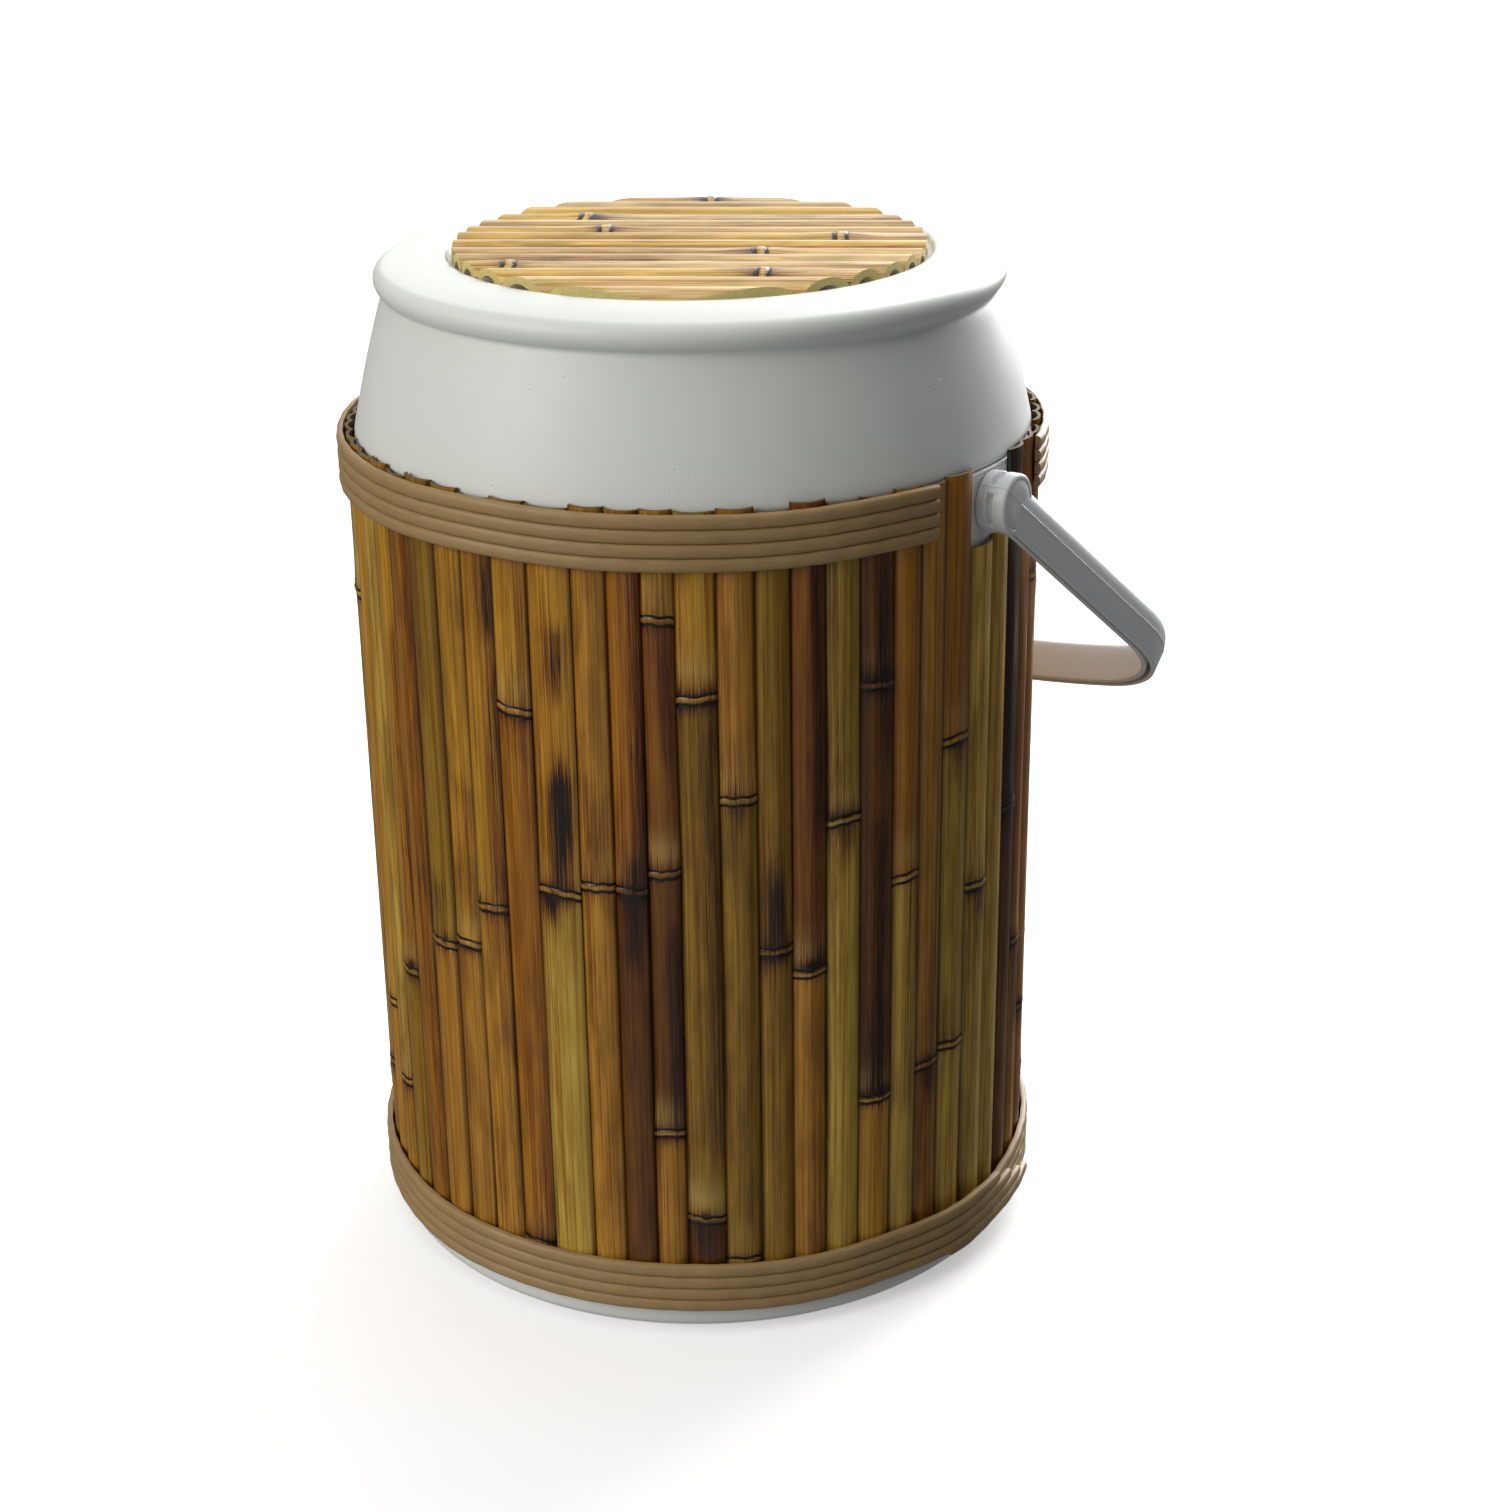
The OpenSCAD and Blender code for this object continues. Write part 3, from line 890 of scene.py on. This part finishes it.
def lid_cone_outline(cone_top, lip_r, lip_z):
    """The groove under the rim, the slightly bulging cone and the rounded lip."""
    outline = [(GROOVE_R, cone_top + 0.5), (GROOVE_R - 0.1, cone_top - 0.4),
               (GROOVE_R + 0.5, cone_top - 1.4)]
    cone_start = cone_top - 2
    cone_end = lip_z + 5
    for k in np.linspace(0.05, 1, 16):
        bulge = 0.7 * math.sin(math.pi * k)
        radius = CONE_TOP_R + (lip_r - 0.5 - CONE_TOP_R) * k + bulge
        outline.append((radius, cone_start - (cone_start - cone_end) * k))
    return outline + [(lip_r - 0.1, lip_z + 3.2), (lip_r, lip_z + 2.0), (lip_r - 0.35, lip_z + 0.8),
                      (lip_r - 1.2, lip_z)]


def lid_shell(material):
    """The lid's moulding: recess, crown, rolled rim, cone and lip."""
    low, high = (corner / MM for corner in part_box("lid_shell"))
    lip_r = high.x
    top = high.z
    crown_angle = math.atan(2 * CROWN_H / (RIM_CENTRE_R - RECESS_R - RECESS_EDGE))
    rim_z = top - CROWN_H - RIM_ROUND_R * math.cos(crown_angle)
    cone_top = rim_z - RIM_ROUND_R - 0.6
    outside = lid_top_outline(top, rim_z, crown_angle) + lid_cone_outline(cone_top, lip_r, low.z)
    floor_z = top - RECESS_D - LID_T
    inside = [(lip_r - LID_T, low.z), (lip_r - LID_T - 0.6, low.z + 6), (141, cone_top - 2),
              (141.5, rim_z), (138, top - CROWN_H - LID_T), (RECESS_R + 4, top - LID_T),
              (RECESS_R + 2, floor_z), (0, floor_z)]
    piece = lathe("lid_moulding", outside + inside, material, steps=288)
    mark_sharp(piece, 55)
    stands_for(piece, "lid", "lid_plastic", "lid_shell")


def lid_liner(material):
    low, high = (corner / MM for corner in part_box("lid_liner"))
    flange_z = high.z - LINER_T
    inner_r = PLUG_R - LINER_T
    floor_z = low.z + LINER_T
    outline = rounded([(0, low.z, 0), (PLUG_R, low.z, 4), (PLUG_R, flange_z, 0.8), (high.x, flange_z, 0.6),
                       (high.x, high.z, 0.4), (inner_r, high.z, 1), (inner_r, floor_z, 3),
                       (0, floor_z, 0)])
    piece = lathe("lid_underside", outline, material)
    stands_for(piece, "lid", "liner_plastic", "lid_liner")


def inner_liner(material):
    low, high = (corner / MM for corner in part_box("inner_liner"))
    outer_r = LINER_R + LINER_T
    flange_z = high.z - 2
    floor_z = low.z + LINER_T
    outline = rounded([(0, low.z, 0), (outer_r, low.z, 6), (outer_r, flange_z, 0.5),
                       (high.x, flange_z, 0.5), (high.x, high.z, 0.9), (LINER_R, high.z, 3),
                       (LINER_R, floor_z, 10), (0, floor_z, 0)], steps=8)
    piece = lathe("tub_liner", outline, material)
    stands_for(piece, "drum", "liner_plastic", "inner_liner")


def outer_shell(material):
    low, high = (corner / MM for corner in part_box("outer_shell"))
    inner_r = WALL_R - SHELL_T
    outline = rounded([(0, low.z, 0), (high.x, low.z, 7), (high.x, FOOT_TOP, 0.9), (WALL_R, FOOT_TOP, 0.8),
                       (WALL_R, high.z, 0.6), (inner_r, high.z, 0.4), (inner_r, SHELL_T, 4),
                       (0, SHELL_T, 0)], steps=8)
    piece = lathe("drum_shell", outline, material)
    stands_for(piece, "drum", "drum_plastic", "outer_shell")


# Bands ----------------------------------------

def rib(path, half_w, thickness):
    """Rings of one rounded rib along a path of (angle, radius, z) places."""
    foot = 0.45
    shoulder = 0.7
    lobe = [math.pi * k / 9 for k in range(10)]
    last = len(path) - 1
    rings = []
    for i, (angle, radius, z) in enumerate(path):
        ease = 1 - 0.12 * max(0, 1 - min(i, last - i) / 2) ** 2
        half = half_w * ease
        height = (thickness - shoulder) * ease
        section = [(0.0, -half), (foot, -half)]
        section += [(shoulder + height * math.sin(a) ** 0.55, -half * math.cos(a)) for a in lobe]
        section += [(foot, half), (0.0, half)]
        rings.append([around(angle, radius + r, z + dz) for r, dz in section])
    return rings


def band(name, node, ends, stagger, moved, seed):
    """A four-ribbed band between two angles; moved() says how far it lies out of its place there."""
    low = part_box(node)[0].z / MM
    draw = random.Random(seed)
    ribs = []
    for k in range(RIB_COUNT):
        above = RIB_COUNT - 1 - k
        first = ends[0] + stagger[0] * above + draw.uniform(-0.12, 0.12)
        last = ends[1] - stagger[1] * above + draw.uniform(-0.12, 0.12)
        steps = max(8, int((last - first) / 1.5))
        phase = draw.uniform(0, 6)
        path = []
        for i in range(steps + 1):
            angle = first + (last - first) * i / steps
            turn = math.radians(angle)
            out, up = moved(angle)
            radius = CLADDING_R + 0.15 * math.sin(turn * 61 + phase) + out
            z = low + RIB_W * (k + 0.5) + up + 0.35 * math.sin(turn * 5 + seed) + 0.2 * math.sin(turn * 11)
            path.append((angle, radius, z))
        ribs.append((rib(path, RIB_W / 2 + 0.02, BAND_T), False))
    piece = skinned(name, ribs, materials["band"])
    mark_sharp(piece, 60)
    stands_for(piece, "drum", "band", node)


def in_place(angle):
    return 0, 0


def overlapped(angle):
    """How far the lower band lies out and up: its outer end crosses over its tail, which sags."""
    out = 3.2 * smooth_step(334, 352, angle)
    tail = -5.2 * (1 - smooth_step(LOWER_TAIL_ANGLE, 24, angle))
    return float(out), float(tail + 0.6 * smooth_step(340, 360, angle))


def bands():
    """Two lengths of upper band that stop short of the pivots, and the lower band's single length."""
    gap = BAND_END_ANGLE
    band("upper_edging_front", "upper_band_front", (180 + gap, 360 - gap), (0, 0), in_place, 3)
    band("upper_edging_back", "upper_band_back", (gap, 180 - gap), (0, 0), in_place, 5)
    band("lower_edging", "lower_band", (LOWER_TAIL_ANGLE, LOWER_OUTER_END), (-0.9, -5), overlapped, 8)


# Handle ----------------------------------------

def bail_path():
    """The outer face of the bail from one pivot to the other: points (x, s) and inward normals."""
    lean = math.sqrt(1 + ARM_LEAN ** 2)
    bow_centre = REACH - BOW_R
    base = ARM_X - CORNER_R * lean
    b = base * ARM_LEAN - bow_centre
    c = base ** 2 + bow_centre ** 2 - (BOW_R - CORNER_R) ** 2
    corner_s = (-b + math.sqrt(b * b - lean ** 2 * c)) / lean ** 2
    corner_x = base + corner_s * ARM_LEAN
    corner_from = math.atan2(-ARM_LEAN, 1)
    corner_to = math.atan2(corner_s - bow_centre, corner_x)
    half = []
    arm_end = corner_s + CORNER_R * math.sin(corner_from)
    for s in np.linspace(0, arm_end, 12, endpoint=False):
        half.append((ARM_X + s * ARM_LEAN, s, corner_from))
    for angle in np.linspace(corner_from, corner_to, 22, endpoint=False):
        half.append((corner_x + CORNER_R * math.cos(angle), corner_s + CORNER_R * math.sin(angle), angle))
    for angle in np.linspace(corner_to, math.pi / 2, 18):
        half.append((BOW_R * math.cos(angle), bow_centre + BOW_R * math.sin(angle), angle))
    other = [(-x, s, math.pi - angle) for x, s, angle in reversed(half[:-1])]
    return half + other


def bail_section():
    """Outline of the channel: m inwards from the outer face, n along the pivots' plane normal."""
    wall = 2.7
    top = BAIL_W / 2
    inner_m = BAIL_T - wall
    web_n = top - 6.7
    outer_face = [(0.5, -top, 0.9), (-0.25, -3, 5)]
    parting_line = [(-0.42, SEAM_N - 0.35, 0.1), (-0.62, SEAM_N, 0.1), (-0.4, SEAM_N + 0.35, 0.1)]
    round_top = [(0.1, 6, 4), (1.7, top - 1.6, 3), (3.8, top, 2.2), (BAIL_T - 1.4, top - 1.3, 3)]
    inner_face = [(BAIL_T - 0.2, top - 6, 5), (BAIL_T, -1, 5), (BAIL_T, -top, 0.9)]
    channel = [(inner_m, -top, 0.7), (inner_m, web_n, 1.5), (wall, web_n, 1.5), (wall, -top, 0.7)]
    return rounded(outer_face + parting_line + round_top + inner_face + channel, steps=5)


def to_frame(x, s, n):
    """A point of the bail's own plane, with the bail hung at rest, in the shared frame."""
    lean = math.radians(-HANG_ANGLE)
    return (x, s * math.cos(lean) - n * math.sin(lean), PIVOT_Z + s * math.sin(lean) + n * math.cos(lean))


def bail_rings():
    section = bail_section()
    return [[to_frame(x - m * math.cos(angle), s - m * math.sin(angle), n) for m, n in section]
            for x, s, angle in bail_path()]


def hub_profile():
    """The hub's outline as (x, radius, share of a snap window's depth), from its back to its cap."""
    back = [(HUB_IN, HUB_BORE_R, 0), (HUB_IN, HUB_R - 0.7, 0), (HUB_IN + 0.3, HUB_R - 0.15, 0),
            (HUB_IN + 0.9, HUB_R, 0)]
    windows = [(WINDOW_IN - 0.5, HUB_R, 0), (WINDOW_IN - 0.08, HUB_R - 0.15, 0.12),
               (WINDOW_IN, HUB_R - 0.1, 1), (WINDOW_OUT, HUB_R - 0.1, 1),
               (WINDOW_OUT + 0.08, HUB_R - 0.15, 0.12), (WINDOW_OUT + 0.5, HUB_R, 0)]
    edge = [(HUB_FACE - 1.6, HUB_R, 0), (HUB_FACE - 0.7, HUB_R - 0.25, 0), (HUB_FACE - 0.2, HUB_R - 0.8, 0),
            (HUB_FACE, HUB_R - 1.6, 0), (HUB_FACE, HUB_R - 2.1, 0)]
    cap = [(HUB_FACE - 0.35, HUB_R - 2.5, 0), (HUB_FACE - 0.35, HUB_R - 2.8, 0),
           (HUB_FACE + 0.1, HUB_R - 3.4, 0), (HUB_FACE + 0.25, 6, 0), (HUB_FACE + 0.3, 0.01, 0)]
    inside = [(HUB_IN + 1, 0.01, 0), (HUB_IN + 1, HUB_BORE_R, 0)]
    return back + windows + edge + cap + inside


def hub_rings(side):
    """The hub as turned rings along X, with its four snap windows sunk between two discs."""
    profile = hub_profile()
    steps = 144
    rings = []
    for i in range(steps):
        degrees = 360 * i / steps
        from_window = min(abs((degrees - 45 - 90 * k + 180) % 360 - 180) for k in range(4))
        sunk = 1 - float(smooth_step(WINDOW_ARC / 2 - 2, WINDOW_ARC / 2 + 1, from_window))
        angle = math.radians(degrees)
        ring = []
        for x, r, share in profile:
            radius = r - share * WINDOW_DEPTH * sunk
            ring.append(to_frame(side * x, radius * math.cos(angle), radius * math.sin(angle)))
        rings.append(ring)
    return rings


def seam_rings(side):
    """The parting line over the hub's edge and cap, a low ridge that meets the arm's own."""
    path = [(HUB_IN + 0.5, -HUB_R), (HUB_FACE - 1.2, -HUB_R), (HUB_FACE - 0.3, -HUB_R + 0.7),
            (HUB_FACE + 0.1, -HUB_R + 2), (HUB_FACE + 0.3, 0), (HUB_FACE + 0.1, 10.4),
            (HUB_FACE + 0.05, HUB_R - 1), (HUB_FACE + 0.9, HUB_R + 6)]
    ridge = ((-0.4, -0.35), (-0.4, 0.35), (0.14, 0.08), (0.14, -0.08))
    rings = []
    for i, (x, s) in enumerate(path):
        ahead = Vector(path[min(i + 1, len(path) - 1)]) - Vector(path[max(i - 1, 0)])
        out = Vector((ahead.y, -ahead.x)).normalized()
        rings.append([to_frame(side * (x + out.x * height), s + out.y * height, SEAM_N + width)
                      for height, width in ridge])
    return rings


def handle(material):
    """The bail with its two hubs and the parting line that runs over them."""
    parts = [(bail_rings(), False)]
    for side in (1, -1):
        parts += [(hub_rings(side), True), (seam_rings(side), False)]
    piece = skinned("bail_handle", parts, material)
    mark_sharp(piece, 40)
    stands_for(piece, "handle", "handle_plastic", "handle_bail")


# Stage ----------------------------------------

def camera():
    """The camera's place and turn relative to the drum, found from its bands and rims."""
    yaw = math.radians(1.31)
    pitch = math.radians(22.6)
    roll = math.radians(-0.67)
    forward = Vector((math.sin(yaw) * math.cos(pitch), math.cos(yaw) * math.cos(pitch), -math.sin(pitch)))
    right = forward.cross(Vector((0, 0, 1))).normalized()
    up = right.cross(forward)
    rolled_right = right * math.cos(roll) + up * math.sin(roll)
    rolled_up = up * math.cos(roll) - right * math.sin(roll)
    axes = Matrix((rolled_right, rolled_up, -forward)).transposed().to_4x4()
    data = bpy.data.cameras.new("camera")
    data.sensor_width = 36
    data.lens = 62.4
    data.clip_start = 0.05
    data.clip_end = 60
    made = bpy.data.objects.new("camera", data)
    bpy.context.scene.collection.objects.link(made)
    place = Matrix.Translation((0, -1.2116, 0.7318)) @ axes
    made.matrix_world = Matrix.Rotation(math.radians(CAMERA_AZIMUTH), 4, "Z") @ place
    bpy.context.scene.camera = made


def sun(name, azimuth, elevation, strength, spread, tone=(255, 255, 255)):
    """A broad soft light from an azimuth measured from the camera's own."""
    bearing = math.radians(CAMERA_AZIMUTH + azimuth)
    rise = math.radians(elevation)
    level = math.cos(rise)
    towards = Vector((math.sin(bearing) * level, -math.cos(bearing) * level, math.sin(rise)))
    data = bpy.data.lights.new(name, "SUN")
    data.energy = strength * math.pi
    data.angle = math.radians(spread)
    data.color = linear(tone)
    lamp = bpy.data.objects.new(name, data)
    bpy.context.scene.collection.objects.link(lamp)
    lamp.location = towards * 3
    lamp.rotation_euler = towards.to_track_quat("Z", "Y").to_euler()


def studio_world(ambient):
    """Dim light from all round, with a white backdrop beyond the floor."""
    world = bpy.data.worlds.new("studio")
    world.use_nodes = True
    tree = world.node_tree
    backdrop = tree.nodes.new("ShaderNodeBackground")
    backdrop.inputs["Strength"].default_value = 1
    backdrop.inputs["Color"].default_value = (1, 1, 1, 1)
    dim = tree.nodes["Background"]
    dim.inputs["Strength"].default_value = ambient
    dim.inputs["Color"].default_value = (1, 1, 1, 1)
    choice = tree.nodes.new("ShaderNodeMixShader")
    tree.links.new(tree.nodes.new("ShaderNodeLightPath").outputs["Is Camera Ray"], choice.inputs[0])
    tree.links.new(dim.outputs[0], choice.inputs[1])
    tree.links.new(backdrop.outputs[0], choice.inputs[2])
    tree.links.new(choice.outputs[0], tree.nodes["World Output"].inputs["Surface"])
    bpy.context.scene.world = world


def floor():
    """A wide pale floor that glows a little, so that the drum's soft shadow stays faint."""
    look = Look("floor_paper", Roughness=0.9, Emission_Strength=0.35, Emission_Color=(1, 1, 1, 1))
    speckle = look.noise(look.place(), 30.0, 2.0)
    look.into("Base Color", look.mix(speckle, (0.9, 0.9, 0.9, 1), (0.86, 0.86, 0.86, 1)))
    bpy.ops.mesh.primitive_plane_add(size=30, location=(0, 0, 0))
    plane = bpy.context.object
    plane.name = "floor"
    plane.data.materials.append(look.material)
    plane.visible_diffuse = False
    plane.visible_glossy = False
    plane.visible_shadow = False


def stage():
    floor()
    studio_world(0.12)
    bpy.context.scene.view_settings.view_transform = "Standard"
    sun("overhead", 175, 82, 0.35, 60)
    sun("back_sheen", 176, 30, 0.27, 55)
    sun("left_key", -62, 27, 0.6, 45, (255, 253, 248))
    sun("back_rim", 150, 15, 1.6, 40)
    sun("table_bounce", -15, -35, 0.12, 90)


def dress_cad_pieces():
    """Gives the pieces that stay as the CAD has them their looks."""
    for name, look in CAD_LOOKS.items():
        cad_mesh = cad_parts[name].data
        cad_mesh.materials.clear()
        cad_mesh.materials.append(materials[look])


camera()
materials = {
    "drum_plastic": plastic("drum_white", (226, 227, 224), 0.42),
    "lid_plastic": plastic("lid_white", (228, 231, 226), 0.4, peel=0.03, pits=0.25),
    "liner_plastic": plastic("liner_white", (234, 234, 230), 0.34),
    "pivot_plastic": plastic("pivot_white", (226, 226, 224), 0.38),
    "handle_plastic": plastic("handle_grey", (222, 224, 226), 0.36, peel=0.015),
    "foam": foam_look(),
    "band": band_look(),
}
dress_cad_pieces()
outer_shell(materials["drum_plastic"])
inner_liner(materials["liner_plastic"])
lid_shell(materials["lid_plastic"])
lid_liner(materials["liner_plastic"])
bands()
handle(materials["handle_plastic"])
wall_canes()
lid_canes()
stage()
